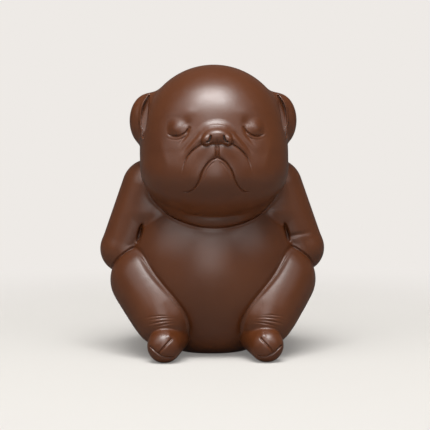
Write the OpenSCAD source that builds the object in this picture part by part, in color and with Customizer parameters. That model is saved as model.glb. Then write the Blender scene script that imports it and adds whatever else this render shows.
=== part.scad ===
// Seated pug tea pet in brown clay, hand built from hollow shells and solid limbs.
// Millimetres. Z is up, the face looks along -Y, the dog's own left is +X.
// The origin is the middle of the flat base, on the table.

/* [Torso] */

// Half width of the belly
belly_r = 25; // [24:0.5:26]
// Half depth of the belly, front to back
belly_depth = 22.5; // [21.5:0.5:23.5]
// Radius of the flat that the belly stands on
base_flat_r = 10; // [9:0.5:11]
// Radius of the rounded chest
chest_r = 16.4; // [15.6:0.2:17.2]
// How far the chest's centre sits below the top of the belly ball
chest_sink = 8.5; // [7.5:0.1:9.5]
// How far the chest's centre sits behind the belly's centre
chest_back = 7; // [6:0.5:8]
// Wall of the hollow torso and head
wall = 3.2; // [2.4:0.2:4]

// How far the seam of the torso lies behind the belly's centre
torso_seam = 1.6; // [1:0.2:2.2]

/* [Base] */

// Radius of the disc that closes the base
disc_r = 7.5; // [6.5:0.5:8]
// Thickness of the disc
disc_t = 3; // [2.5:0.5:4]
// Diameter of the vent hole in the disc
vent_d = 4; // [3:0.5:5]
// How far the vent hole sits behind the disc's centre
vent_back = 3.8; // [3.4:0.2:4.2]

/* [Head] */

// Width of the skull
skull_w = 40; // [38:0.5:42]
// Depth of the skull, front to back
skull_d = 38; // [36:0.5:40]
// Height of the skull
skull_h = 40.6; // [39:0.4:42]
// Height of the skull's centre above the chest's centre
head_rise = 20; // [19.2:0.1:20.8]
// How far the skull's centre lies behind the front of the belly
head_back = 12.1; // [11.4:0.1:12.8]
// Width of the jaw
jaw_w = 40; // [38:0.2:41]
// Depth of the jaw, front to back
jaw_d = 34; // [32:0.5:36]
// Height of the jaw
jaw_h = 25.6; // [24.6:0.2:26.6]
// How far the jaw's centre sits below the skull's centre
jaw_drop = 8.1; // [7.4:0.1:8.8]
// How far the jaw's centre sits in front of the skull's centre
jaw_forward = 4.2; // [3.4:0.1:5]
// Diameter of the air hole between head and torso
air_hole_d = 5; // [4:0.5:6]

/* [Neck roll] */

// Width of the skin roll under the jaw, between the middles of its ends
roll_w = 32.4; // [31.2:0.2:33.6]
// Half thickness of the roll under the chin
roll_r = 2.7; // [2.5:0.1:2.9]
// Half thickness of the roll at its ends
roll_end_r = 1.5; // [1.3:0.1:1.7]
// How far the roll's middle sits below the jaw's centre
roll_drop = 13; // [12.7:0.1:13.3]
// How far the roll's middle sits in front of the jaw's centre
roll_forward = 2.7; // [2.3:0.1:3.1]
// How far the curve of the roll rises from its middle to the sides of the jaw
roll_climb = 10.7; // [10.1:0.1:11.3]
// How far the curve of the roll falls back from its middle to the sides of the jaw
roll_wrap = 13.7; // [13.1:0.1:14.3]

/* [Face] */

// Distance between the middles of the eyes
eye_gap = 19; // [17.6:0.2:20.4]
// Height of the eyes above the skull's centre
eye_rise = 3.9; // [3.1:0.2:4.7]
// Width of a closed eyelid
lid_w = 6.6; // [6:0.2:7.2]
// Height of a closed eyelid
lid_h = 6; // [5.4:0.2:6.6]
// How far an eyelid stands out of the face
lid_out = 1; // [0.8:0.1:1.2]
// Width of the nose
nose_w = 8.2; // [7.6:0.2:8.8]
// Height of the nose
nose_h = 4.6; // [4:0.2:5.2]
// Height of the nose above the skull's centre
nose_rise = 1.9; // [1.3:0.1:2.5]
// How far the nose stands out of the face
nose_out = 2.7; // [2.1:0.1:3.3]
// Radius of a wing of the nose
nostril_r = 1.6; // [1.4:0.1:1.8]
// Radius of a muzzle pad beside the nose
pad_top_r = 5; // [4.6:0.1:5.4]
// Radius of a muzzle pad at its middle
pad_mid_r = 5.2; // [4.8:0.1:5.6]
// Radius of a muzzle pad at the corner of the mouth
pad_end_r = 4.6; // [4.2:0.1:5]
// How far a muzzle pad stands out of the jaw
pad_out = 0.2; // [0.1:0.1:0.4]
// How far the lower end of a muzzle pad lies behind its front
pad_end_back = 1.5; // [1.1:0.1:1.9]
// Sideways distance of a muzzle pad's upper end from the middle
pad_top_x = 2.6; // [2.2:0.1:3]
// Height of a muzzle pad's upper end above the jaw's centre
pad_top_rise = 5.7; // [5.1:0.1:6.3]
// Sideways distance of a muzzle pad's middle
pad_mid_x = 5.5; // [5.1:0.1:5.9]
// Height of a muzzle pad's middle above the jaw's centre
pad_mid_rise = 2.1; // [1.5:0.1:2.7]
// Sideways distance of a muzzle pad's lower end from the middle
pad_end_x = 7.4; // [7:0.1:7.8]
// How far a muzzle pad's lower end sits below the jaw's centre
pad_end_drop = 2.3; // [1.7:0.1:2.9]
// Width of the chin pad
chin_w = 11; // [10:0.2:12]
// Height of the chin pad
chin_h = 13; // [12:0.2:14]
// How far the chin pad stands out of the jaw
chin_out = 0.6; // [0.5:0.1:0.8]
// How deep the middle of the chin pad lies under the jaw's surface
chin_seat = 3.8; // [3.4:0.1:4.2]
// How deep the middles of the nose and eyelids lie under the skull's surface
face_seat = 1.4; // [1.2:0.1:1.6]

/* [Ears] */

// Height of an ear
ear_h = 14.4; // [13:0.2:16]
// Width of an ear
ear_w = 9.6; // [9:0.2:10.4]
// Thickness of an ear, front to back
ear_d = 8; // [7:0.2:9]
// Height of an ear's middle above the skull's centre
ear_rise = 4.9; // [4:0.1:6]
// How far an ear's middle sits behind the skull's centre
ear_back = 3; // [2:0.2:4]
// How deep the middle of an ear lies under the skull's surface
ear_seat = 1.1; // [0.8:0.1:1.4]

/* [Arms] */

// Radius of the shoulder
shoulder_r = 8; // [7.4:0.2:8.6]
// Height of the shoulder above the chest's centre
shoulder_rise = 6.2; // [5.6:0.2:6.8]
// How far the shoulder sits in front of the chest's centre
shoulder_forward = 8.6; // [8:0.1:9.2]
// Half the distance between the shoulders
shoulder_x = 17.2; // [16.6:0.1:17.8]
// Radius of the elbow
elbow_r = 6.9; // [6.5:0.1:7.3]
// Height of the elbow above the belly's centre
elbow_rise = 5.7; // [5.1:0.1:6.3]
// How far the elbow's centre lies inside the belly's half width
elbow_in = 0.7; // [0.3:0.1:1.1]
// How far the elbow sits in front of the belly's centre
elbow_forward = 2.4; // [1.8:0.1:3]
// Radius of the wrist
wrist_r = 5; // [4.6:0.1:5.4]
// Radius of a front paw
paw_r = 4.8; // [4.4:0.1:5]
// Height of the front paws above the belly's centre
paw_rise = 1.6; // [0.6:0.2:2.6]
// How far the wrist lies inside the belly's depth, as the arm wraps round the back
paw_wrap = 1.5; // [1:0.1:2]

/* [Legs] */

// Radius of the knee
knee_r = 9.5; // [9.1:0.1:9.9]
// How far the knee's centre sits below the belly's centre
knee_drop = 2.4; // [1.8:0.2:3]
// How far the knee's centre lies inside the belly's half width
knee_in = 6.3; // [5.9:0.1:6.7]
// How far the knee's centre lies behind the belly's front
knee_back = 14.6; // [14.2:0.1:15]
// Radius of the ankle
ankle_r = 7.9; // [7.4:0.1:8.4]
// Height of the ankle above the table
ankle_z = 11; // [10.5:0.1:11.5]
// Half the distance between the ankles
ankle_x = 14; // [13:0.2:15]
// How far the ankle's centre lies behind the belly's front
ankle_back = 8.5; // [8.1:0.1:8.9]
// Radius of the hip
hip_r = 12.6; // [12:0.2:13.2]
// How far the hip's centre lies inside the belly's half width
hip_in = 11; // [10.6:0.1:11.4]
// How far the hip's centre lies behind the belly's centre
hip_back = 6; // [5:0.2:7]
// How far the hip's centre lies below the belly's centre
hip_drop = 5.9; // [5.4:0.1:6.4]

/* [Feet] */

// Radius of the heel
heel_r = 4.7; // [4.4:0.1:5]
// Radius of the toes
toe_r = 4.6; // [4.3:0.1:4.9]
// Half the distance between the toes of both feet
toe_x = 13.8; // [13:0.2:14.6]
// How far the toes turn out from the heel
toe_out = 2.2; // [1.6:0.2:2.8]
// Distance from heel to toe
foot_l = 6.6; // [6:0.2:7.2]
// How far the toes stand in front of the ankle
toe_forward = 7.2; // [6.8:0.1:7.6]
// How far the heel is raised off the table
heel_lift = 1.2; // [0.8:0.1:1.6]
// Depth of the flat under each foot
sole_flat = 0.3; // [0.2:0.05:0.4]

/* [Tail] */

// Radius of the curl, at the middle of the tail
curl_r = 3; // [2.6:0.1:3.4]
// Radius of the tail where it leaves the back
tail_r = 2.2; // [1.9:0.1:2.5]
// Radius of the tail's tip
tip_r = 1.4; // [1.2:0.1:1.6]
// Height of the curl above the table
tail_z = 12.5; // [11:0.5:14]
// How far the curl rises out of the back from root to tip
curl_lift = 2; // [1.6:0.1:2.4]
// Angle that the tail turns through
curl_turn = 450; // [400:10:480]

/* [Joints] */

// Gap that the slip fills between two joined pieces
slip = 0.2; // [0.1:0.05:0.3]

/* [Hidden] */

clay = [0.36, 0.22, 0.15];
clay_dark = [0.30, 0.18, 0.12];
clay_light = [0.42, 0.27, 0.19];

// Facets of the large shells, the limbs and the small pieces of the face
shell_facets = 44;
limb_facets = 28;
face_facets = 24;
hole_facets = 48;
tail_facets = 16;

// Balls along the curl of the tail, and along each half of the neck roll
curl_steps = 12;
roll_steps = 8;

// Half of a cutting block, larger than the whole figure
block = 100;

// Centres of the main forms
belly_z = sqrt(belly_r * belly_r - base_flat_r * base_flat_r);
belly_at = [0, 0, belly_z];
chest_at = [0, chest_back, belly_z + belly_r - chest_sink];
skull_at = [0, head_back - belly_depth, chest_at.z + head_rise];
jaw_at = skull_at - [0, jaw_forward, jaw_drop];
roll_at = jaw_at - [0, roll_forward, roll_drop];
skull_half = [skull_w, skull_d, skull_h] / 2;
jaw_half = [jaw_w, jaw_d, jaw_h] / 2;

// Front of an egg shape at a sideways and an upward distance from its middle
function egg_front(half, x, z) = half.y * sqrt(1 - pow(x / half.x, 2) - pow(z / half.z, 2));

// Side of an egg shape at a backward and an upward distance from its middle
function egg_side(half, y, z) = half.x * sqrt(1 - pow(y / half.y, 2) - pow(z / half.z, 2));

eye_at = skull_at + [eye_gap / 2, face_seat - egg_front(skull_half, eye_gap / 2, eye_rise), eye_rise];
lid_half = [lid_w / 2, lid_out + face_seat, lid_h / 2];
nose_at = skull_at + [0, face_seat - egg_front(skull_half, 0, nose_rise), nose_rise];
nose_half = [nose_w / 2, nose_out + face_seat, nose_h / 2];
nostril_at = nose_at + [nose_w / 2 - nostril_r, nostril_r - nose_half.y, -nose_h / 4];
pad_front = jaw_at.y - jaw_half.y - pad_out;
pad_top = [pad_top_x, pad_front + pad_top_r, jaw_at.z + pad_top_rise];
pad_mid = [pad_mid_x, pad_front + pad_mid_r, jaw_at.z + pad_mid_rise];
pad_end = [pad_end_x, pad_front + pad_end_back + pad_end_r, jaw_at.z - pad_end_drop];
chin_half = [chin_w / 2, chin_out + chin_seat, chin_h / 2];
chin_at = jaw_at + [0, chin_seat - jaw_half.y, 0];

ear_half = [ear_w, ear_d, ear_h] / 2;
ear_at = skull_at + [egg_side(skull_half, ear_back, ear_rise) - ear_seat, ear_back, ear_rise];

shoulder_at = [shoulder_x, chest_back - shoulder_forward, chest_at.z + shoulder_rise];
elbow_at = [belly_r - elbow_in, -elbow_forward, belly_z + elbow_rise];
paw_at = [paw_r + slip / 2, belly_depth, belly_z + paw_rise];
wrist_at = [2 * paw_r, belly_depth - paw_wrap, paw_at.z];

knee_at = [belly_r - knee_in, knee_back - belly_depth, belly_z - knee_drop];
ankle_at = [ankle_x, ankle_back - belly_depth, ankle_z];
hip_at = [belly_r - hip_in, hip_back, belly_z - hip_drop];
toe_at = [toe_x, ankle_at.y - toe_forward, toe_r - sole_flat];
heel_at = [toe_x - toe_out, toe_at.y + foot_l, heel_r + heel_lift - sole_flat];

tail_at = [0, belly_depth * sqrt(1 - pow((tail_z - belly_z) / belly_r, 2)), tail_z];

// Keeps a modelled clay form as one skin
module skin() {
    resize([0, 0, 0]) children();
}

module egg(at, half, g = 0) {
    translate(at) scale(half + [g, g, g]) sphere(1);
}

// Two balls and the skin stretched over them
module round_cone(from_at, from_r, to_at, to_r, g = 0) {
    hull() {
        translate(from_at) sphere(from_r + g);
        translate(to_at) sphere(to_r + g);
    }
}

// Everything on the +X side of the middle, clear of the joint
module left_half() {
    translate([slip / 2, -block, -block]) cube(2 * block);
}

// Outer form of the torso, grown by g
module torso_form(g = 0) {
    depth = belly_depth / belly_r;
    scale([1, (belly_depth + g) / (belly_r + g), 1]) hull() {
        translate(belly_at) sphere(belly_r + g, $fn = shell_facets);
        translate([0, chest_back / depth, chest_at.z]) sphere(chest_r + g, $fn = shell_facets);
    }
}

// Outer form of the head, grown by g
module head_form(g = 0) {
    hull() {
        egg(skull_at, skull_half, g, $fn = shell_facets);
        egg(jaw_at, jaw_half, g, $fn = shell_facets);
    }
}

// Place and half thickness of the roll, u running from -1 at one end to 1 at the other
function roll_bend(u) = pow(u * roll_w / jaw_w, 2);
function roll_point(u) = roll_at + [roll_w / 2 * u, roll_wrap * roll_bend(u), roll_climb * roll_bend(u)];
function roll_size(u) = roll_r - (roll_r - roll_end_r) * pow(u, 4);

module roll_form(g = 0) {
    for (i = [-roll_steps:roll_steps - 1]) {
        u = i / roll_steps;
        v = (i + 1) / roll_steps;
        round_cone(roll_point(u), roll_size(u), roll_point(v), roll_size(v), g, $fn = face_facets);
    }
}

module upper_arm_form(g = 0) {
    round_cone(shoulder_at, shoulder_r, elbow_at, elbow_r, g, $fn = limb_facets);
}

module forearm_form(g = 0) {
    round_cone(elbow_at, elbow_r, wrist_at, wrist_r, g, $fn = limb_facets);
    round_cone(wrist_at, wrist_r, paw_at, paw_r, g, $fn = limb_facets);
}

module leg_form(g = 0) {
    round_cone(knee_at, knee_r, ankle_at, ankle_r, g, $fn = limb_facets);
    round_cone(knee_at, knee_r, hip_at, hip_r, g, $fn = limb_facets);
}

module foot_form(g = 0) {
    round_cone(heel_at, heel_r, toe_at, toe_r, g, $fn = limb_facets);
}

module pad_form(g = 0) {
    round_cone(pad_top, pad_top_r, pad_mid, pad_mid_r, g, $fn = face_facets);
    round_cone(pad_mid, pad_mid_r, pad_end, pad_end_r, g, $fn = face_facets);
}

// Torso wall, open under the head and at the base
module torso_shell() {
    difference() {
        torso_form();
        torso_form(-wall);
        head_form(slip);
        translate([-block, -block, -2 * block]) cube(2 * block);
        cylinder(r = disc_r + slip, h = belly_z, $fn = hole_facets);
    }
}

// Hollow head with an air hole into the torso
module head_shell() {
    difference() {
        head_form();
        head_form(-wall);
        translate([0, ear_at.y + wall + air_hole_d, belly_z])
            cylinder(d = air_hole_d, h = skull_at.z - belly_z, $fn = hole_facets);
    }
}

// The part of a shell in front of a seam across the body
module front_of(seam_y) {
    intersection() {
        children();
        translate([-block, seam_y - slip / 2 - 2 * block, -block]) cube(2 * block);
    }
}

// The part of a shell behind a seam across the body
module behind(seam_y) {
    intersection() {
        children();
        translate([-block, seam_y + slip / 2, -block]) cube(2 * block);
    }
}

module base_disc() {
    color(clay_dark) difference() {
        cylinder(r = disc_r, h = disc_t);
        translate([0, vent_back, -1]) cylinder(d = vent_d, h = disc_t + 2);
    }
}

module torso_front() {
    color(clay) skin() front_of(torso_seam) torso_shell();
}

module torso_back() {
    color(clay) skin() behind(torso_seam) torso_shell();
}

module neck_roll() {
    color(clay_dark) skin() difference() {
        roll_form();
        head_form(slip);
        torso_form(slip);
    }
}

module face_shell() {
    color(clay) skin() front_of(ear_at.y) head_shell();
}

module skull_shell() {
    color(clay) skin() behind(ear_at.y) head_shell();
}

module left_ear() {
    color(clay_light) skin() difference() {
        egg(ear_at, ear_half, $fn = limb_facets);
        head_form(slip);
    }
}

module right_ear() {
    mirror([1, 0, 0]) left_ear();
}

module left_eyelid() {
    color(clay_light) skin() difference() {
        egg(eye_at, lid_half, $fn = face_facets);
        head_form(slip);
    }
}

module right_eyelid() {
    mirror([1, 0, 0]) left_eyelid();
}

module left_muzzle_pad() {
    color(clay_light) skin() difference() {
        intersection() {
            pad_form();
            left_half();
        }
        head_form(slip);
    }
}

module right_muzzle_pad() {
    mirror([1, 0, 0]) left_muzzle_pad();
}

// Both muzzle pads, grown by the joint, to cut what is laid against them
module pad_seat() {
    pad_form(slip);
    mirror([1, 0, 0]) pad_form(slip);
}

module nose() {
    color(clay_dark) skin() difference() {
        union() {
            egg(nose_at, nose_half, $fn = face_facets);
            for (side = [-1, 1])
                translate([side * nostril_at.x, nostril_at.y, nostril_at.z])
                    sphere(nostril_r, $fn = face_facets);
        }
        head_form(slip);
        pad_seat();
    }
}

module chin_pad() {
    color(clay) skin() difference() {
        egg(chin_at, chin_half, $fn = face_facets);
        head_form(slip);
        pad_seat();
    }
}

module left_upper_arm() {
    color(clay) skin() difference() {
        upper_arm_form();
        torso_form(slip);
        head_form(slip);
        roll_form(slip);
    }
}

module right_upper_arm() {
    mirror([1, 0, 0]) left_upper_arm();
}

module left_forearm() {
    color(clay_light) skin() difference() {
        intersection() {
            forearm_form();
            left_half();
        }
        torso_form(slip);
        upper_arm_form(slip);
    }
}

module right_forearm() {
    mirror([1, 0, 0]) left_forearm();
}

module left_leg() {
    color(clay) skin() difference() {
        leg_form();
        torso_form(slip);
        upper_arm_form(slip);
        forearm_form(slip);
    }
}

module right_leg() {
    mirror([1, 0, 0]) left_leg();
}

module left_foot() {
    color(clay_light) skin() difference() {
        foot_form();
        leg_form(slip);
        torso_form(slip);
        translate([-block, -block, -2 * block]) cube(2 * block);
    }
}

module right_foot() {
    mirror([1, 0, 0]) left_foot();
}

// Place and size of the tail's i-th ball, from root to tip
function curl_point(i) = let (t = i / curl_steps, a = t * curl_turn, r = curl_r * (1 - t / 2))
    tail_at + [r * sin(a), t * curl_lift, r * cos(a)];
function curl_size(i) = tail_r + (tip_r - tail_r) * i / curl_steps;

module tail() {
    color(clay_light) skin() difference() {
        for (i = [0:curl_steps - 1])
            round_cone(curl_point(i), curl_size(i), curl_point(i + 1), curl_size(i + 1),
                $fn = tail_facets);
        torso_form(slip);
    }
}

base_disc();
torso_front();
torso_back();
neck_roll();
face_shell();
skull_shell();
left_ear();
right_ear();
left_eyelid();
right_eyelid();
nose();
left_muzzle_pad();
right_muzzle_pad();
chin_pad();
left_upper_arm();
right_upper_arm();
left_forearm();
right_forearm();
left_leg();
right_leg();
left_foot();
right_foot();
tail();
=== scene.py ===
# Looks of the seated pug tea pet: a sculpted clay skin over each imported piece, with floor, light and
# camera. Each form is a distance field in millimetres, below 0 inside the clay. x goes to the dog's
# left, y to its back and z up, so the face looks along -y. Both halves are alike, so most forms are
# worked out from the distance sideways, ax.
import math

import bpy
import numpy as np
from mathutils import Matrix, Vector


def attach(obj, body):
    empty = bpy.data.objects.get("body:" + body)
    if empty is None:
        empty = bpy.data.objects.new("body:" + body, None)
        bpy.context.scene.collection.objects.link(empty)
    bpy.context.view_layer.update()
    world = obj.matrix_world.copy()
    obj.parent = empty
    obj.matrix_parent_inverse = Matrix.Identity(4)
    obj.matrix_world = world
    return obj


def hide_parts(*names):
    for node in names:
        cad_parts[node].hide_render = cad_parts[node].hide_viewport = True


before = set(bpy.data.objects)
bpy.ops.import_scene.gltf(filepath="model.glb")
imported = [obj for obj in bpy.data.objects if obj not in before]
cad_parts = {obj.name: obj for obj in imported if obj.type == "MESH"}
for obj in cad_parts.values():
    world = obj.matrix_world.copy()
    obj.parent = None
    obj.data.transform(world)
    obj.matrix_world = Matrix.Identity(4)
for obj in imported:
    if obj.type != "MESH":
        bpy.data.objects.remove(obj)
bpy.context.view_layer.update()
MM = 0.001

# Driving sizes in millimetres, under the names of the part's source
belly_r, belly_depth, base_flat_r = 25.0, 22.5, 10.0
chest_r, chest_sink, chest_back = 16.4, 8.5, 7.0
torso_seam = 1.6
skull_half = np.array([40.0, 38.0, 40.6]) / 2
jaw_half = np.array([40.0, 34.0, 25.6]) / 2
ear_half = np.array([9.6, 8.0, 14.4]) / 2
belly_z = (belly_r ** 2 - base_flat_r ** 2) ** 0.5
chest_at = np.array([0.0, chest_back, belly_z + belly_r - chest_sink])
skull_at = np.array([0.0, 12.1 - belly_depth, chest_at[2] + 20.0])
jaw_at = skull_at - [0.0, 4.2, 8.1]
ear_at = np.array([18.05, -7.4, skull_at[2] + 4.9])
shoulder_at, shoulder_r = np.array([17.2, -1.6, chest_at[2] + 6.2]), 8.0
elbow_at, elbow_r = np.array([24.3, -2.4, belly_z + 5.7]), 6.9
wrist_at, wrist_r = np.array([9.6, 21.0, belly_z + 1.6]), 5.0
paw_at, paw_r = np.array([4.9, 22.5, belly_z + 1.6]), 4.8
knee_at, knee_r = np.array([18.7, -7.9, belly_z - 2.4]), 9.5
ankle_at, ankle_r = np.array([14.0, -14.0, 11.0]), 7.9
hip_at, hip_r = np.array([14.0, 6.0, belly_z - 5.9]), 12.6
heel_at, heel_r = np.array([11.6, -14.6, 5.8]), 4.7
toe_at, toe_r = np.array([13.8, -21.2, 4.4]), 4.6
tail_at = np.array([0.0, 20.46, 12.5])

# How far the skin of the head and of the arms lies inside the solids
HEAD_IN, ARM_IN = 0.08, 0.15


# ---- Tools for forms ----

def ramp(a, b, v):
    """0 at a, 1 at b, smooth between."""
    t = np.clip((v - a) / (b - a), 0.0, 1.0)
    return t * t * (3.0 - 2.0 * t)


def join(a, b, k):
    """Union of two forms with a fillet of size k."""
    h = np.maximum(k - np.abs(a - b), 0.0) / k
    return np.minimum(a, b) - h * h * k / 4.0


def carve(a, b, k):
    """Form a without form b, with an edge softened by k."""
    return -join(-a, b, k)


def bell(v, w):
    """1 at 0, falling off to both sides over the width w."""
    return np.exp(-np.square(v / w))


def climb(u, a):
    """A rise of one in one from u = 0 that starts softly over the length a."""
    return np.where(u < a, np.square(np.maximum(u, 0.0)) / (2.0 * a), u - a / 2.0)


def egg(p, at, half):
    """An egg about a middle, with its half sizes."""
    qx, qy, qz = (p[0] - at[0]) / half[0], (p[1] - at[1]) / half[1], (p[2] - at[2]) / half[2]
    k0 = np.sqrt(qx * qx + qy * qy + qz * qz)
    k1 = np.sqrt((qx / half[0]) ** 2 + (qy / half[1]) ** 2 + (qz / half[2]) ** 2)
    return k0 * (k0 - 1.0) / np.maximum(k1, 1e-6)


def round_cone(p, a, ra, b, rb):
    """Two balls and the skin stretched over them."""
    ba = np.asarray(b, float) - a
    l2 = ba @ ba
    rr = ra - rb
    a2 = l2 - rr * rr
    px, py, pz = p[0] - a[0], p[1] - a[1], p[2] - a[2]
    y = px * ba[0] + py * ba[1] + pz * ba[2]
    z = y - l2
    x2 = (px * l2 - y * ba[0]) ** 2 + (py * l2 - y * ba[1]) ** 2 + (pz * l2 - y * ba[2]) ** 2
    y2, z2 = y * y * l2, z * z * l2
    k = np.sign(rr) * rr * rr * x2
    out = (np.sqrt(x2 * a2 / l2) + y * rr) / l2 - ra
    out = np.where(np.sign(y) * a2 * y2 < k, np.sqrt(x2 + y2) / l2 - ra, out)
    return np.where(np.sign(z) * a2 * z2 > k, np.sqrt(x2 + z2) / l2 - rb, out)


def strand(p, balls):
    """A coil over a row of balls, each given as x, y, z and radius."""
    out = None
    for a, b in zip(balls[:-1], balls[1:]):
        e = round_cone(p, a[:3], a[3], b[:3], b[3])
        out = e if out is None else np.minimum(out, e)
    return out


def curve(points, steps=5):
    """A smooth line through the given points."""
    pts = np.asarray(points, float)
    ext = np.vstack([2 * pts[0] - pts[1], pts, 2 * pts[-1] - pts[-2]])
    out = []
    for i in range(len(pts) - 1):
        a, b, c, d = ext[i:i + 4]
        for t in np.arange(steps) / steps:
            out.append(0.5 * (2 * b + (c - a) * t + (2 * a - 5 * b + 4 * c - d) * t * t
                              + (3 * b - a - 3 * c + d) * t ** 3))
    out.append(pts[-1])
    return np.array(out)


def along(u, v, line, reach):
    """Distance from (u, v) to a line, place along it from 0 to 1, and the side (+ on its left)."""
    far = np.full(u.shape, 1e3)
    place = np.zeros(u.shape)
    side = np.zeros(u.shape)
    lo, hi = line.min(0) - reach, line.max(0) + reach
    near = np.nonzero((u > lo[0]) & (u < hi[0]) & (v > lo[1]) & (v < hi[1]))[0]
    if not len(near):
        return far, place, side
    un, vn = u[near], v[near]
    best = np.full(un.shape, 1e6)
    t_best, s_best = np.zeros(un.shape), np.zeros(un.shape)
    n = len(line) - 1
    for i in range(n):
        a, d = line[i], line[i + 1] - line[i]
        du, dv = un - a[0], vn - a[1]
        t = np.clip((du * d[0] + dv * d[1]) / (d @ d), 0.0, 1.0)
        e = (du - t * d[0]) ** 2 + (dv - t * d[1]) ** 2
        w = e < best
        best = np.where(w, e, best)
        t_best = np.where(w, (i + t) / n, t_best)
        s_best = np.where(w, np.sign(d[0] * dv - d[1] * du), s_best)
    far[near] = np.sqrt(best)
    place[near] = t_best
    side[near] = s_best
    return far, place, side


def stroke(u, v, line, high, width, fade_in=None, fade_out=None, reach=3.0):
    """A soft ridge along a line, in full height between the places fade_in and fade_out on it."""
    d, t, _ = along(u, v, line, reach)
    h = high * bell(d, width)
    if fade_in is not None:
        h = h * ramp(0.0, fade_in, t)
    if fade_out is not None:
        h = h * ramp(1.0, fade_out, t)
    return h


def swell(u, v, high, at, half):
    """A soft bump of a height about the place at."""
    return high * np.exp(-((u - at[0]) / half[0]) ** 2 - ((v - at[1]) / half[1]) ** 2)


def oval(u, v, at, half):
    """0 in the middle of an oval, 1 on its edge."""
    return np.sqrt(((u - at[0]) / half[0]) ** 2 + ((v - at[1]) / half[1]) ** 2)


def mound(q, soft):
    """Height of a fold across its half width q: a firm edge, or one that fades where soft is 1."""
    q = np.clip(q, 0.0, 1.0)
    return (1.0 - q ** 4) * (1.0 - soft) + np.square(1.0 - q * q) * soft


def spaced(t, values):
    """The value at place t from 0 to 1 on an even row of values."""
    return np.interp(t, np.linspace(0, 1, len(values)), values)


# ---- The head ----

# Lines of the face, seen from the front on its left half: distance sideways and height
MOUTH = curve([(0.0, 55.9), (1.7, 55.1), (3.1, 53.6), (4.1, 51.7), (4.8, 49.7),
               (6.0, 47.7), (7.3, 46.8), (8.7, 46.6)])
FOLD = curve([(4.0, 59.4), (6.2, 57.8), (7.9, 55.8), (8.8, 53.4), (9.4, 50.6)])
TEAR = curve([(7.2, 63.4), (8.0, 61.5), (9.2, 60.0), (10.4, 58.3)])
SECOND_FOLD = curve([(4.3, 63.1), (5.9, 61.0), (8.2, 58.4), (9.7, 56.0)])
LID_LINE = curve([(7.2, 63.6), (8.0, 62.4), (9.4, 61.5), (10.9, 61.2), (12.2, 61.4), (13.2, 62.0)])
SOCKET = curve([(7.3, 62.8), (7.4, 64.2), (8.0, 65.3), (9.2, 66.0)])
BROW = curve([(6.0, 66.0), (7.0, 67.2), (8.6, 67.9), (10.4, 67.7), (12.6, 66.6)])
CHEEK = curve([(15.2, 62.0), (14.4, 58.0), (13.3, 54.2), (12.6, 50.2)])
NOSTRIL = curve([(1.7, 61.6), (1.85, 60.9), (2.15, 60.3), (2.8, 60.0)])
# The roll over the bridge; its first stretch lies on the right half and only sets the direction
BRIDGE = curve([(-2.5, 64.1), (0.0, 64.7), (2.5, 64.1), (4.5, 62.3), (6.3, 60.1),
                (8.2, 57.7), (10.2, 54.8)])[5:]
# The middle of a muzzle pad, and its half width from top to bottom
FLEW = curve([(1.7, 57.6), (4.1, 56.3), (5.6, 54.7), (6.6, 52.4), (7.2, 50.0), (7.9, 47.9)])
FLEW_W = np.array([1.9, 2.55, 2.7, 2.45, 2.2, 1.3])
# The hollow between the head and the rim of an ear, and its half width from top to bottom
EAR_LINE = curve([(17.5, 71.2), (18.2, 69.4), (18.65, 67.4), (18.85, 65.2), (18.95, 63.2),
                  (19.1, 61.8), (19.25, 60.4)])
EAR_W = np.array([0.1, 0.6, 0.85, 0.85, 0.65, 0.35, 0.1])
# Height and y of the middle of that hollow's floor
EAR_MID_Z, EAR_FLOOR_Y = 65.2, -11.15

EYE = (9.5, 63.3)
LID_Y, LID_HALF, LID_LEAN = -24.2, (2.4, 2.6, 2.25), 0.3
NOSE_AT, NOSE_HALF = (0, -29.5, 61.3), (3.6, 2.4, 2.3)
WING_AT, WING_HALF = (2.7, -30.0, 60.4), (1.45, 1.9, 1.6)
NOSE_FRONT, NOSTRIL_END = -31.9, -30.4
# Wrinkles over the bridge: height and depth
WRINKLES = ((65.3, 0.02), (64.7, 0.03), (64.1, 0.03))

# The relief of the face comes in between two places of y, going forward
FACE_FROM, FACE_FULL = -12.0, -17.0
# The face is worked out in front of a place of y, up to a distance from the plain head
FACE_BACK, FACE_REACH = -8.0, 6.0
# The roll of skin under the jaw, from its middle to its end: places and radius
ROLL = [np.array([16.2 * u, 9.0 * u ** 2 - 17.3, 38.3 + 7.0 * u ** 2, 2.7 - 1.2 * u ** 4])
        for u in np.linspace(0, 1, 13)]
# The roll is worked out below this height
ROLL_TOP = 50.0


def plain_head(p):
    """Skull and jaw under one skin."""
    out = None
    for t in (0.0, 1 / 3, 2 / 3, 1.0):
        e = egg(p, skull_at + (jaw_at - skull_at) * t, skull_half + (jaw_half - skull_half) * t)
        out = e if out is None else join(out, e, 1.0)
    return out + HEAD_IN


def roll(p):
    return strand((np.abs(p[0]), p[1], p[2]), ROLL)


def ear(p):
    return egg((np.abs(p[0]), p[1], p[2]), ear_at, ear_half)


def eyelid(p):
    lean = LID_LEAN * (p[2] - EYE[1])
    return egg((np.abs(p[0]), p[1] - lean, p[2]), (EYE[0], LID_Y, EYE[1]), LID_HALF)


def nose(p):
    """A broad nose with wings, a flattened front, two nostrils and a groove below."""
    x, y, z = p
    ax = np.abs(x)
    out = join(egg(p, NOSE_AT, NOSE_HALF), egg((ax, y, z), WING_AT, WING_HALF), 0.6)
    out = carve(out, 0.99 * (y - NOSE_FRONT) + 0.1 * (z - 61.0), 0.5)
    d, t, _ = along(ax, z, NOSTRIL, 3.0)
    hole = np.maximum(d - 0.17 - 0.1 * bell(t - 0.4, 0.35), y - NOSTRIL_END)
    out = carve(out, hole, 0.2)
    return out + 0.2 * bell(x, 0.2) * ramp(61.2, 60.2, z) * ramp(-30.5, -31.5, y)


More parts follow.
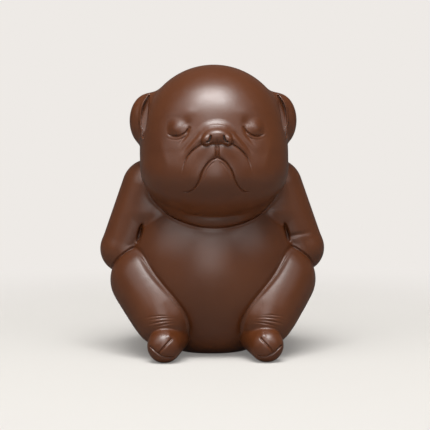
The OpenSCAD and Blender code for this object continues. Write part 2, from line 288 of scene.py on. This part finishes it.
def soft_relief(ax, z):
    """Sockets, brow and cheek ridges: the slow shapes under the folds of the face."""
    h = swell(ax, z, -0.42, at=(10.0, 63.0), half=(4.2, 3.6))
    h -= stroke(ax, z, SOCKET, 0.26, 1.2, fade_in=0.5, fade_out=0.4, reach=4.0)
    h += swell(ax, z, 0.7, at=(0.0, 58.3), half=(5.5, 3.0))
    h += swell(ax, z, 0.07, at=(7.0, 67.6), half=(1.8, 1.2))
    h += stroke(ax, z, BROW, 0.05, 1.3, fade_in=0.4, fade_out=0.4, reach=5.0)
    h += stroke(ax, z, CHEEK, 0.1, 1.1, fade_in=0.4, fade_out=0.5, reach=5.0)
    return h


def folds(ax, z):
    """The roll over the bridge, the muzzle pads and the chin, as height over the head."""
    d, t, side = along(ax, z, BRIDGE, 6.0)
    under = 1.5 - side * d
    mid = ramp(5.6, 1.6, ax)
    wide = 1.9 + 1.8 * mid
    rise = (climb(under, 1.6) - climb(under - wide, 0.9)) / wide
    over_nose = ramp(61.2, 62.6, z)
    on_cheek = 1.0 - ramp(61.5, 59.5, z) * ramp(1.8, 3.9, under)
    fall = mid * over_nose + (1.0 - mid) * on_cheek
    bridge = (1.0 + 1.4 * mid) * rise * fall * ramp(1.0, 0.5, t) * ramp(6.0, 5.0, d)

    chin = 0.25 * mound(oval(ax, z, at=(0.0, 50.6), half=(5.0, 5.8)), 1.0)

    d, t, side = along(ax, z, FLEW, 6.0)
    outer = ramp(-0.3, 0.6, side * d)
    soft = outer * (0.2 + 0.8 * ramp(0.2, 0.7, t))
    pad = 0.24 * ramp(1.03, 0.7, t) * mound(d / spaced(t, FLEW_W), soft)
    return np.maximum(bridge, np.maximum(chin, pad))


def cuts(ax, x, z):
    """Depth of the lines cut into the face."""
    h = np.zeros(ax.shape)
    for rise, deep in WRINKLES:
        h += deep * bell(z - rise + 0.05 * x * x, 0.2) * ramp(3.2, 1.4, ax)
    h += stroke(ax, z, SECOND_FOLD, 0.2, 0.5, fade_in=0.25, fade_out=0.6)
    h += stroke(ax, z, TEAR, 0.3, 0.4, fade_out=0.4)
    h += stroke(ax, z, FOLD, 0.36, 0.17, fade_out=0.4, reach=2.0)
    # The mouth, the edge of the lower lip below it, and the two lines from nose to mouth
    d, t, side = along(ax, z, MOUTH, 3.0)
    h += 0.42 * bell(d, 0.17) * ramp(1.02, 0.9, t)
    low = ramp(0.05, -0.05, side * d)
    h += 0.14 * low * bell(d - 0.85, 0.2) * ramp(0.05, 0.15, t) * ramp(0.65, 0.3, t)
    h += 0.34 * bell(ax - 0.36, 0.18) * ramp(55.6, 56.3, z) * ramp(59.2, 58.4, z)
    return h


def face(p, s):
    """The front of the head, s being the distance to the plain head."""
    x, y, z = p
    ax = np.abs(x)
    w = ramp(FACE_FROM, FACE_FULL, y)
    g = join(s - w * soft_relief(ax, z), eyelid(p), 1.3)
    # The line of the closed eye, with a fainter one below it
    d, t, side = along(ax, z, LID_LINE, 3.0)
    ends = w * ramp(0.0, 0.15, t) * ramp(1.0, 0.6, t)
    low = ramp(0.05, -0.05, side * d)
    g = g + ends * (0.36 * bell(d, 0.21) + 0.06 * low * bell(d - 0.95, 0.17))
    g = g + w * (cuts(ax, x, z) - folds(ax, z))
    return join(g, nose(p), 0.3)


def ear_hollow(p):
    """A groove with a flat floor that is deepest along the rim, and how far out a point lies."""
    d, t, side = along(np.abs(p[0]), p[2], EAR_LINE, 3.0)
    out = side * d
    up = p[2] - EAR_MID_Z
    floor_y = 0.36 * up - 0.014 * up * up + EAR_FLOOR_Y + 0.45 * np.clip(out, -1.0, 1.0)
    return np.maximum(d - spaced(t, EAR_W), 0.86 * (p[1] - floor_y)), out


def head(p):
    """The whole head, with the roll under its jaw."""
    x, y, z = p
    out = plain_head(p)
    front = np.nonzero((y < FACE_BACK) & (out < FACE_REACH))[0]
    if len(front):
        out[front] = face((x[front], y[front], z[front]), out[front])
    out = join(out, ear(p), 1.4 + 2.6 * ramp(65.0, 70.0, z))
    hollow, outer = ear_hollow(p)
    rim = 0.25 * bell(hollow - 0.35, 0.3) * ramp(0.0, 0.5, outer)
    out = carve(out - rim, hollow, 0.25)
    # The roll under the chin grows out of the cheeks
    low = np.nonzero(z < ROLL_TOP)[0]
    if len(low):
        r = roll((x[low], y[low], z[low]))
        out[low] = join(out[low], r, 0.7 + 2.8 * ramp(4.0, 11.0, np.abs(x[low])))
    return out


# ---- The body ----

def shin_ball(t):
    """Place and radius at t on the way from knee to ankle, a little fuller in the middle."""
    bow = [0.0, (1 - t) - 2.2 * t * (1 - t), 0.0]
    return np.array([*(knee_at * (1 - t) + ankle_at * t + bow), knee_r * (1 - t) + ankle_r * t])


def tail_ball(t):
    """Place and radius at t on the tail, a curl that narrows towards its tip."""
    turn, wide = np.radians(450 * t - 90), 3.0 - 1.5 * t
    return np.array([tail_at[0] + wide * np.cos(turn), tail_at[1] + 2.0 * t,
                     tail_at[2] + wide * np.sin(turn), 2.2 - 0.8 * t])


SHIN = [shin_ball(t) for t in np.linspace(0, 1, 7)]
CURL = [tail_ball(t) for t in np.linspace(0, 1, 25)]
# Creases, seen from the front or the back: distance sideways and height
PAW_CREASES = [curve([(1.0, 25.6), (3.4, 25.9)]), curve([(1.0, 23.4), (3.4, 23.0)])]
ELBOW_FOLD = curve([(20.6, 32.4), (24.0, 33.1), (28.4, 33.6)])
TOE_CREASE = curve([(12.0, 6.7), (13.6, 5.2), (15.2, 3.4)])
SOLE_CREASE = curve([(11.6, 1.9), (13.4, 2.1), (15.3, 2.9), (17.4, 4.6)])
ARMPIT_AT, ARMPIT_HALF, ARMPIT_LEAN = (20.2, -9.6, 33.6), (0.6, 2.0, 2.6), 0.25
# The tail is worked out behind this place of y
TAIL_FROM = 12.0
# Wrinkles above a foot: height, tilt, depth and the place of the middle
ANKLE_WRINKLES = ((12.9, 0.12, 0.12, 15.4), (12.1, 0.05, 0.17, 14.4),
                  (11.2, -0.02, 0.18, 15.0), (10.4, -0.1, 0.14, 13.6))


def torso(p):
    """Belly and chest, drawn as if round and then made as deep as the belly is."""
    k = belly_r / belly_depth
    return round_cone((p[0], p[1] * k, p[2]), (0, 0, belly_z), belly_r,
                      (0, chest_back * k, chest_at[2]), chest_r)


def upper_arm(m):
    return round_cone(m, shoulder_at, shoulder_r, elbow_at, elbow_r)


def forearm(m):
    return join(round_cone(m, elbow_at, elbow_r, wrist_at, wrist_r),
                round_cone(m, wrist_at, wrist_r, paw_at, paw_r), 0.5)


def leg(m):
    out = round_cone(m, SHIN[0][:3], knee_r, hip_at, hip_r)
    for a, b in zip(SHIN[:-1], SHIN[1:]):
        out = join(out, round_cone(m, a[:3], a[3], b[:3], b[3]), 0.6)
    return out


def foot(m):
    return round_cone(m, heel_at, heel_r, toe_at, toe_r)


def tail(p):
    return strand(p, CURL)


def creased_arm(p, m, thigh):
    """Both arms, with a rim along the leg below, the paws' creases and a fold in the left elbow."""
    x, y, z = p
    out = join(upper_arm(m), forearm(m), 0.4) + ARM_IN
    out = out - 0.25 * bell(thigh - 0.6, 0.5) * ramp(32.0, 30.0, z) * ramp(29.0, 27.5, m[0])
    out = out + stroke(x, z, ELBOW_FOLD, 0.3, 0.6, fade_out=0.4) * ramp(2.0, 0.0, y)
    for line in PAW_CREASES:
        out = out + stroke(m[0], z, line, 0.4, 0.3, reach=1.5) * ramp(20.0, 22.0, y)
    return out


def wrinkled_leg(m, plain):
    """The legs, with wrinkles above the feet."""
    ax, y, z = m
    front = ramp(-14.0, -17.0, y)
    for rise, tilt, deep, mid in ANKLE_WRINKLES:
        line = rise + tilt * (ax - mid) - 0.035 * (ax - 12.5) ** 2
        plain = plain + deep * front * bell(z - line, 0.22) * bell(ax - mid, 2.6)
    return plain


def creased_foot(m):
    """The feet, with two creases across the toes and a knuckle above them."""
    ax, y, z = m
    front = ramp(-19.0, -21.0, y)
    out = foot(m)
    out = out + stroke(ax, z, TOE_CREASE, 0.4, 0.24, reach=2.0) * front
    out = out + stroke(ax, z, SOLE_CREASE, 0.4, 0.26, reach=2.0) * front
    return out - swell(ax, z, 0.3, at=(12.6, 7.7), half=(0.8, 0.8))


def body(p):
    """The whole body, cut flat at the floor."""
    x, y, z = p
    ax = np.abs(x)
    m = (ax, y, z)
    trunk, thigh = torso(p), leg(m)
    out = join(trunk, creased_arm(p, m, thigh),
               0.5 + ramp(34.0, 40.0, z) * (5.0 + 4.0 * ramp(-3.0, 5.0, y)))
    lean = ARMPIT_LEAN * (z - ARMPIT_AT[2])
    out = carve(out, egg((ax + lean, y, z), ARMPIT_AT, ARMPIT_HALF), 0.5)
    # The leg's edge is a rolled rim that presses into the belly
    limb = wrinkled_leg(m, thigh)
    rim = 0.42 * bell(trunk - 0.5, 0.3) * ramp(29.0, 25.0, z)
    out = join(out + 0.3 * bell(np.maximum(limb, 0.0), 0.8), limb - rim, 0.3)
    out = join(out, creased_foot(m), 0.6)
    back = np.nonzero(y > TAIL_FROM)[0]
    if len(back):
        out[back] = join(out[back], tail((x[back], y[back], z[back])), 0.8)
    # The chest rises in a thin rim along the roll that presses into it
    out = out - 0.3 * bell(roll(p) - 0.6, 0.5)
    return np.maximum(out, -z)


# ---- Which piece owns which part of the skin ----

BODY_PIECES = ["torso_front", "torso_back", "left_upper_arm", "right_upper_arm",
               "left_forearm", "right_forearm", "left_leg", "right_leg",
               "left_foot", "right_foot", "tail"]
HEAD_PIECES = ["face_shell", "skull_shell", "left_ear", "right_ear", "left_eyelid", "right_eyelid",
               "nose", "left_muzzle_pad", "right_muzzle_pad", "chin_pad", "neck_roll"]


def apart(d, v):
    """One form as two: the first where v is above 0, the second where it is below."""
    return [d + np.maximum(-v, 0.0), d + np.maximum(v, 0.0)]


def body_shares(p):
    """Distance to each piece of the body: the lowest one owns a point of the skin."""
    x, y, z = p
    m = (np.abs(x), y, z)
    out = apart(torso(p), torso_seam - y)
    for d in (upper_arm(m), forearm(m), leg(m), foot(m)):
        out += apart(d, x)
    out.append(tail(p))
    return out


def head_shares(p):
    """Distance to each piece of the head, flat-on for the pads of the face."""
    x, y, z = p
    ax = np.abs(x)
    out = apart(plain_head(p), ear_at[1] - y) + apart(ear(p), x)
    back = np.maximum(y - FACE_FULL, 0.0)
    lid = (oval(ax, z, at=(EYE[0], EYE[1] - 0.2), half=(3.2, 2.7)) - 1.0) * 2.8 + back
    out += apart(lid, x)
    out.append(nose(p) - 0.15)
    d, t, _ = along(ax, z, FLEW, 6.0)
    out += apart(d - spaced(t, FLEW_W) + back, x)
    out.append((oval(ax, z, at=(0.0, 50.3), half=(5.0, 6.0)) - 1.0) * 5.0 + back)
    out.append(roll(p))
    return out


# ---- From fields to meshes ----

# Points worked out at a time
CHUNK = 60000
# How deep the wall of a piece goes under the skin, and how deep a skin goes into the other form
WALL, OVERLAP = 0.9, 1.2


def in_chunks(f, pts):
    return np.concatenate([f(tuple(pts[i:i + CHUNK].T)) for i in range(0, len(pts), CHUNK)])


def unit(v):
    return v / (np.linalg.norm(v, axis=1, keepdims=True) + 1e-12)


def slope(f, pts, e=0.02):
    """Value and gradient of a field at points."""
    g = np.empty_like(pts)
    for k in range(3):
        o = np.zeros(3)
        o[k] = e
        g[:, k] = (in_chunks(f, pts + o) - in_chunks(f, pts - o)) / (2 * e)
    return in_chunks(f, pts), g


def settle(f, pts, cell, rounds=3):
    """Moves points onto the surface of a field, by no more than a cell at a time."""
    for _ in range(rounds):
        v, g = slope(f, pts)
        move = v[:, None] * g / np.maximum((g * g).sum(1), 0.05)[:, None]
        far = np.linalg.norm(move, axis=1)
        pts = pts - move * np.minimum(1.0, cell / np.maximum(far, 1e-9))[:, None]
    return pts


def sample(f, lo, hi, cell, block=4, near=8.0, far=9.0):
    """Values of a field on a grid, worked out only in blocks of cells near the surface."""
    blocks = np.ceil((np.asarray(hi) - lo) / (cell * block)).astype(int)
    axes = [(np.arange(n) + 0.5) * block * cell for n in blocks]
    mids = np.stack(np.meshgrid(*axes, indexing="ij"), -1) + lo
    rough = in_chunks(f, mids.reshape(-1, 3)).reshape(blocks)
    grow = np.abs(rough) < near * cell
    fill = np.sign(rough) * far
    for k in range(3):
        grow = grow.repeat(block, k)
        fill = fill.repeat(block, k)
    shape = blocks * block + 1
    val = np.full(shape, far, np.float32)
    mask = np.zeros(shape, bool)
    val[:-1, :-1, :-1] = fill
    mask[:-1, :-1, :-1] = grow
    mask[1:] |= mask[:-1]
    mask[:, 1:] |= mask[:, :-1]
    mask[:, :, 1:] |= mask[:, :, :-1]
    val[mask] = in_chunks(f, lo + np.argwhere(mask) * cell)
    return val


def skin(f, lo, hi, cell):
    """Quads over the surface of a field: a point in each cell that the surface goes through."""
    lo = np.asarray(lo, float)
    val = sample(f, lo, hi, cell)
    inside = val < 0
    shape = np.array(val.shape)
    count = np.zeros(shape - 1, np.uint8)
    corners = [(a, b, c) for a in (0, 1) for b in (0, 1) for c in (0, 1)]
    for a, b, c in corners:
        count += inside[a:shape[0] - 1 + a, b:shape[1] - 1 + b, c:shape[2] - 1 + c]
    live = (count > 0) & (count < 8)
    i, j, k = np.nonzero(live)
    ids = np.full(live.shape, -1, np.int32)
    ids[live] = np.arange(len(i))

    # Each point is the middle of the places where the surface crosses the edges of its cell
    v8 = {c: val[i + c[0], j + c[1], k + c[2]].astype(float) for c in corners}
    total = np.zeros((len(i), 3))
    hits = np.zeros(len(i))
    for a in corners:
        for n in range(3):
            if a[n]:
                continue
            b = tuple(1 if q == n else a[q] for q in range(3))
            cross = (v8[a] < 0) != (v8[b] < 0)
            t = np.where(cross, v8[a] / np.where(cross, v8[a] - v8[b], 1.0), 0.0)
            pt = np.tile(np.array(a, float), (len(i), 1))
            pt[:, n] += t
            total += pt * cross[:, None]
            hits += cross
    pts = lo + (np.stack([i, j, k], 1) + total / hits[:, None]) * cell

    # A quad joins the four cells round each edge of the grid that the surface crosses
    quads = []
    for n in range(3):
        u, w = (n + 1) % 3, (n + 2) % 3
        first = [slice(None)] * 3
        second = [slice(None)] * 3
        first[n], second[n] = slice(None, -1), slice(1, None)
        s0, s1 = inside[tuple(first)], inside[tuple(second)]
        e = np.argwhere(s0 != s1)
        e = e[(e[:, u] > 0) & (e[:, w] > 0) & (e[:, u] < shape[u] - 1) & (e[:, w] < shape[w] - 1)]
        ring = []
        for du, dw in ((-1, -1), (0, -1), (0, 0), (-1, 0)):
            c = e.copy()
            c[:, u] += du
            c[:, w] += dw
            ring.append(ids[c[:, 0], c[:, 1], c[:, 2]])
        q = np.stack(ring, 1)
        out = s0[e[:, 0], e[:, 1], e[:, 2]]
        quads.append(np.where(out[:, None], q, q[:, ::-1]))
    return settle(f, pts, cell), np.concatenate(quads)


def spread(pts, quads):
    """Normals of quads, as long as twice their area."""
    return np.cross(pts[quads[:, 2]] - pts[quads[:, 0]], pts[quads[:, 3]] - pts[quads[:, 1]])


def even_borders(f, shares, pts, quads, who, cell, reach=0.45, least=0.7):
    """Slides the points between two pieces onto the line where both are equally near."""
    low = np.full(len(pts), 99)
    high = np.full(len(pts), -1)
    np.minimum.at(low, quads.ravel(), np.repeat(who, 4))
    np.maximum.at(high, quads.ravel(), np.repeat(who, 4))
    edge = np.nonzero((low != high) & (high >= 0))[0]
    a, b = low[edge], high[edge]
    n = np.arange(len(edge))

    def split(p):
        s = np.stack(shares(p))
        return s[a, n] - s[b, n]

    start = pts[edge].copy()
    q = start.copy()
    e = 0.03
    for _ in range(3):
        v = split(tuple(q.T))
        g = np.stack([(split(tuple((q + o).T)) - split(tuple((q - o).T))) / (2 * e)
                      for o in np.eye(3) * e], 1)
        nrm = unit(slope(f, q)[1])
        g -= (g * nrm).sum(1, keepdims=True) * nrm
        q = q - v[:, None] * g / np.maximum((g * g).sum(1), 0.2)[:, None]
        far = q - start
        size = np.linalg.norm(far, axis=1, keepdims=True)
        q = start + far * np.minimum(1.0, reach * cell / np.maximum(size, 1e-9))
        q = settle(f, q, cell, 1)
    # A point goes back where its move would fold a quad over
    moved = pts.copy()
    moved[edge] = q
    plain = unit(spread(pts, quads))
    for _ in range(3):
        bad = quads[(plain * unit(spread(moved, quads))).sum(1) < least].ravel()
        moved[bad] = pts[bad]
    return moved


def loops(quads):
    """Open edges of a patch, joined into rings."""
    a = quads.ravel()
    b = np.roll(quads, -1, 1).ravel()
    key = a.astype(np.int64) * (1 << 32) + b
    back = b.astype(np.int64) * (1 << 32) + a
    free = ~np.isin(key, back)
    follow = {}
    for u, v in zip(a[free].tolist(), b[free].tolist()):
        follow.setdefault(u, []).append(v)
    rings = []
    while follow:
        start = next(iter(follow))
        ring, at = [start], start
        while True:
            nxt = follow[at].pop()
            if not follow[at]:
                del follow[at]
            if nxt == start:
                break
            ring.append(nxt)
            at = nxt
            if at not in follow:
                break
        rings.append(ring)
    return rings


def mesh_object(name, co, no, quads, tris):
    """A smooth object from points in millimetres, their normals, quads and triangles."""
    mesh = bpy.data.meshes.new(name)
    mesh.vertices.add(len(co))
    mesh.vertices.foreach_set("co", (co * MM).astype(np.float32).ravel())
    mesh.loops.add(len(quads) * 4 + len(tris) * 3)
    corner = np.concatenate([quads.ravel(), np.array(tris, int).ravel()]).astype(np.int32)
    mesh.loops.foreach_set("vertex_index", corner)
    starts = np.concatenate([np.arange(len(quads)) * 4, len(quads) * 4 + np.arange(len(tris)) * 3])
    mesh.polygons.add(len(starts))
    mesh.polygons.foreach_set("loop_start", starts.astype(np.int32))
    mesh.update(calc_edges=True)
    mesh.validate()
    mesh.polygons.foreach_set("use_smooth", np.ones(len(mesh.polygons), bool))
    mesh.normals_split_custom_set_from_vertices(no)
    obj = bpy.data.objects.new(name + "_skin", mesh)
    bpy.context.scene.collection.objects.link(obj)
    return obj


def piece(name, pts, nrm, quads):
    """One closed piece: its patch of skin, a wall down from each open edge, and a plug behind it."""
    used, local = np.unique(quads, return_inverse=True)
    q = local.reshape(-1, 4)
    co, no = pts[used], nrm[used].copy()
    # At a crease the piece takes the normal of its own faces
    own = np.zeros_like(co)
    for n in range(4):
        np.add.at(own, q[:, n], spread(co, q))
    own = unit(own)
    bent = (own * no).sum(1) < 0.9
    no[bent] = own[bent]
    walls, tris = [], []
    count = len(co)
    for ring in loops(q):
        n = len(ring)
        low = co[ring] - WALL * no[ring]
        top = low.mean(0) - 2 * WALL * no[ring].mean(0)
        walls += [(ring[(i + 1) % n], ring[i], count + i, count + (i + 1) % n) for i in range(n)]
        tris += [(count + (i + 1) % n, count + i, count + n) for i in range(n)]
        co = np.vstack([co, low, top[None]])
        no = np.vstack([no, no[ring], no[ring].mean(0)[None]])
        count += n + 1
    return mesh_object(name, co, no, np.vstack([q, walls]) if walls else q, tris)


def sculpt(f, other, shares, names, lo, hi, cell):
    """Skins a field and cuts it into its pieces, without what lies deep in the other field."""
    pts, quads = skin(f, lo, hi, cell)
    mid = pts[quads].mean(1)
    keep = in_chunks(other, mid) > -OVERLAP
    quads, mid = quads[keep], mid[keep]
    who = in_chunks(lambda p: np.argmin(np.stack(shares(p)), 0), mid)
    pts = even_borders(f, shares, pts, quads, who, cell)
    nrm = unit(slope(f, pts)[1])
    return {name: piece(name, pts, nrm, quads[who == n]) for n, name in enumerate(names)}


# ---- Materials ----

def srgb(r, g, b):
    """Colour as seen on screen, 0 to 255, as the linear values that materials take."""
    return tuple((v / 12.92 if v <= 0.04045 else ((v + 0.055) / 1.055) ** 2.4)
                 for v in (r / 255, g / 255, b / 255))


BROWN_DARK, BROWN_LIGHT = srgb(80, 39, 13), srgb(90, 46, 17)
BASE_DARK, BASE_LIGHT = srgb(120, 80, 58), srgb(136, 94, 70)
PAPER, PAPER_IN_GLOSS = srgb(204, 201, 196), srgb(48, 44, 40)
BACKDROP, AIR = srgb(238, 234, 230), srgb(240, 238, 235)
# Share of the pale background that gloss shows: in full it lays a haze over the brown
SHEEN = 0.1
# Distances in metres between which the floor turns from shaded to evenly pale, and how much of
# the pale there is near the object
FADE_FROM, FADE_TO, GLOW_NEAR = 0.07, 0.18, 0.18


def clay(name, dark, light):
    """Satin clay: a fine grain, slow changes of colour and small changes of gloss."""
    mat = bpy.data.materials.new(name)
    mat.use_nodes = True
    nodes, links = mat.node_tree.nodes, mat.node_tree.links
    shader = nodes["Principled BSDF"]
    shader.inputs["Specular IOR Level"].default_value = 0.8
    where = nodes.new("ShaderNodeTexCoord")

    def noise(scale, detail, rough):
        n = nodes.new("ShaderNodeTexNoise")
        n.inputs["Scale"].default_value = scale
        n.inputs["Detail"].default_value = detail
        n.inputs["Roughness"].default_value = rough
        links.new(where.outputs["Object"], n.inputs["Vector"])
        return n

    def bump(height, strength, distance):
        n = nodes.new("ShaderNodeBump")
        n.inputs["Strength"].default_value = strength
        n.inputs["Distance"].default_value = distance
        links.new(height.outputs["Fac"], n.inputs["Height"])
        return n

    cloud = noise(scale=55.0, detail=4.0, rough=0.55)
    tint = nodes.new("ShaderNodeValToRGB")
    tint.color_ramp.elements[0].position = 0.3
    tint.color_ramp.elements[0].color = (*dark, 1.0)
    tint.color_ramp.elements[1].position = 0.72
    tint.color_ramp.elements[1].color = (*light, 1.0)
    links.new(cloud.outputs["Fac"], tint.inputs["Fac"])
    links.new(tint.outputs["Color"], shader.inputs["Base Color"])

    smear = noise(scale=420.0, detail=6.0, rough=0.65)
    gloss = nodes.new("ShaderNodeMapRange")
    gloss.inputs["From Min"].default_value = 0.25
    gloss.inputs["From Max"].default_value = 0.75
    gloss.inputs["To Min"].default_value = 0.31
    gloss.inputs["To Max"].default_value = 0.39
    links.new(smear.outputs["Fac"], gloss.inputs["Value"])
    links.new(gloss.outputs["Result"], shader.inputs["Roughness"])

    fine = bump(noise(scale=2600.0, detail=3.0, rough=0.6), strength=0.25, distance=0.06 * MM)
    broad = bump(noise(scale=260.0, detail=3.0, rough=0.5), strength=0.10, distance=0.25 * MM)
    links.new(fine.outputs["Normal"], broad.inputs["Normal"])
    links.new(broad.outputs["Normal"], shader.inputs["Normal"])
    return mat


def math_node(tree, how, first, second):
    """A node that reckons with two values, each an output of another node or a number."""
    node = tree.nodes.new("ShaderNodeMath")
    node.operation = how
    for n, value in enumerate((first, second)):
        if isinstance(value, float):
            node.inputs[n].default_value = value
        else:
            tree.links.new(value, node.inputs[n])
    return node.outputs["Value"]


def in_sight(tree, ray):
    """1 for what the camera sees straight or through glass, less for what it sees in satin gloss."""
    clear = math_node(tree, "MAXIMUM", ray.outputs["Is Camera Ray"], ray.outputs["Is Transmission Ray"])
    dim = math_node(tree, "MULTIPLY", ray.outputs["Is Glossy Ray"], SHEEN)
    return math_node(tree, "MAXIMUM", clear, dim)


def pale_paper():
    """Paper that keeps the shadow near the object, is evenly pale further away, and is dull in gloss."""
    mat = bpy.data.materials.new("pale_paper")
    mat.use_nodes = True
    tree = mat.node_tree
    nodes, links = tree.nodes, tree.links
    paper = nodes["Principled BSDF"]
    paper.inputs["Roughness"].default_value = 0.9
    paper.inputs["Specular IOR Level"].default_value = 0.1
    ray = nodes.new("ShaderNodeLightPath")
    seen = nodes.new("ShaderNodeMix")
    seen.data_type = "RGBA"
    seen.inputs["A"].default_value = (*PAPER, 1.0)
    seen.inputs["B"].default_value = (*PAPER_IN_GLOSS, 1.0)
    dull = math_node(tree, "MULTIPLY", ray.outputs["Is Glossy Ray"], 1.0 - SHEEN)
    links.new(dull, seen.inputs["Factor"])
    links.new(seen.outputs["Result"], paper.inputs["Base Color"])

    glow = nodes.new("ShaderNodeEmission")
    glow.inputs["Color"].default_value = (*BACKDROP, 1.0)
    spot = nodes.new("ShaderNodeNewGeometry")
    far = nodes.new("ShaderNodeVectorMath")
    far.operation = "LENGTH"
    links.new(spot.outputs["Position"], far.inputs[0])
    fade = nodes.new("ShaderNodeMapRange")
    fade.interpolation_type = "SMOOTHSTEP"
    fade.inputs["From Min"].default_value = FADE_FROM
    fade.inputs["From Max"].default_value = FADE_TO
    fade.inputs["To Min"].default_value = GLOW_NEAR
    links.new(far.outputs["Value"], fade.inputs["Value"])
    mixed = nodes.new("ShaderNodeMixShader")
    share = math_node(tree, "MULTIPLY", fade.outputs["Result"], in_sight(tree, ray))
    links.new(share, mixed.inputs["Fac"])
    links.new(paper.outputs["BSDF"], mixed.inputs[1])
    links.new(glow.outputs["Emission"], mixed.inputs[2])
    links.new(mixed.outputs["Shader"], nodes["Material Output"].inputs["Surface"])
    return mat


# ---- Floor, camera and light, in metres ----

FLOOR_FRONT, FLOOR_HALF_W = -1.6, 2.0
BEND_AT, BEND_R, BACKDROP_TOP = 0.5, 0.5, 2.0
LOOK_AT = Vector((0.8, -0.5, 37.6)) * MM
CAM_AZ, CAM_EL, CAM_DIST, CAM_LENS = -2.6, 6.0, 0.52, 156.2
# Name, azimuth and elevation in degrees, distance, width, height, watts
LAMPS = (("top", -3, 66, 0.9, 0.95, 0.6, 5.8),
         ("key", -3, 68, 0.88, 0.55, 0.32, 6),
         ("front", -4, 21, 1.0, 0.5, 0.8, 2.0),
         ("left", -56, 38, 1.0, 0.7, 0.7, 1.6),
         ("right", 52, 36, 1.0, 0.6, 0.6, 0.9))
AIR_STRENGTH = 0.05


def sweep():
    """A floor that bends up into a backdrop."""
    line = [(FLOOR_FRONT, 0.0), (BEND_AT, 0.0)]
    line += [(BEND_AT + BEND_R * math.sin(a), BEND_R - BEND_R * math.cos(a))
             for a in np.linspace(0, math.pi / 2, 25)[1:]]
    line += [(BEND_AT + BEND_R, BACKDROP_TOP)]
    mesh = bpy.data.meshes.new("floor")
    mesh.from_pydata([(s * FLOOR_HALF_W, y, z) for y, z in line for s in (-1, 1)], [],
                     [(2 * n, 2 * n + 1, 2 * n + 3, 2 * n + 2) for n in range(len(line) - 1)])
    mesh.polygons.foreach_set("use_smooth", [True] * len(mesh.polygons))
    obj = bpy.data.objects.new("floor", mesh)
    obj.data.materials.append(pale_paper())
    bpy.context.scene.collection.objects.link(obj)
    return obj


def place(obj, az, el, dist):
    """Links an object that looks at the figure; az turns from the front to the viewer's right."""
    a, e = math.radians(az), math.radians(el)
    away = Vector((math.sin(a) * math.cos(e), -math.cos(a) * math.cos(e), math.sin(e)))
    obj.location = LOOK_AT + dist * away
    obj.rotation_euler = (LOOK_AT - obj.location).to_track_quat("-Z", "Y").to_euler()
    bpy.context.scene.collection.objects.link(obj)


def softbox(name, az, el, dist, width, height, watts):
    lamp = bpy.data.lights.new(name, "AREA")
    lamp.shape = "RECTANGLE"
    lamp.size, lamp.size_y = width, height
    lamp.energy = watts
    place(bpy.data.objects.new(name, lamp), az, el, dist)


def studio():
    """Dim air for light, and a pale one where the camera sees past the floor."""
    world = bpy.data.worlds.new("studio")
    world.use_nodes = True
    nodes, links = world.node_tree.nodes, world.node_tree.links
    air = nodes["Background"]
    air.inputs["Color"].default_value = (*AIR, 1.0)
    air.inputs["Strength"].default_value = AIR_STRENGTH
    sky = nodes.new("ShaderNodeBackground")
    sky.inputs["Color"].default_value = (*BACKDROP, 1.0)
    pick = nodes.new("ShaderNodeMixShader")
    links.new(in_sight(world.node_tree, nodes.new("ShaderNodeLightPath")), pick.inputs["Fac"])
    links.new(air.outputs["Background"], pick.inputs[1])
    links.new(sky.outputs["Background"], pick.inputs[2])
    links.new(pick.outputs["Shader"], nodes["World Output"].inputs["Surface"])
    return world


# ---- The scene ----

# Grid cells in millimetres, and the corners of the boxes that are searched
head_cell = 0.215
body_cell = 0.23
BODY_LOW, BODY_HIGH = (-34, -34, -1.2), (34, 32, 60)
HEAD_LOW, HEAD_HIGH = (-26, -36, 33), (26, 12, 82)

brown = clay("brown_clay", BROWN_DARK, BROWN_LIGHT)
unglazed = clay("base_clay", BASE_DARK, BASE_LIGHT)
made = sculpt(body, head, body_shares, BODY_PIECES, BODY_LOW, BODY_HIGH, body_cell)
made.update(sculpt(head, body, head_shares, HEAD_PIECES, HEAD_LOW, HEAD_HIGH, head_cell))
for name, obj in made.items():
    obj.data.materials.append(brown)
    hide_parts(name)
    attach(obj, "root")
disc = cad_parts["base_disc"]
disc.data.materials.clear()
disc.data.materials.append(unglazed)

floor = sweep()

cam = bpy.data.objects.new("camera", bpy.data.cameras.new("camera"))
cam.data.sensor_width = 36.0
cam.data.lens = CAM_LENS
cam.data.clip_start = 0.01
place(cam, CAM_AZ, CAM_EL, CAM_DIST)
bpy.context.scene.camera = cam
for lamp in LAMPS:
    softbox(*lamp)
bpy.context.scene.world = studio()
bpy.context.scene.view_settings.view_transform = "Standard"
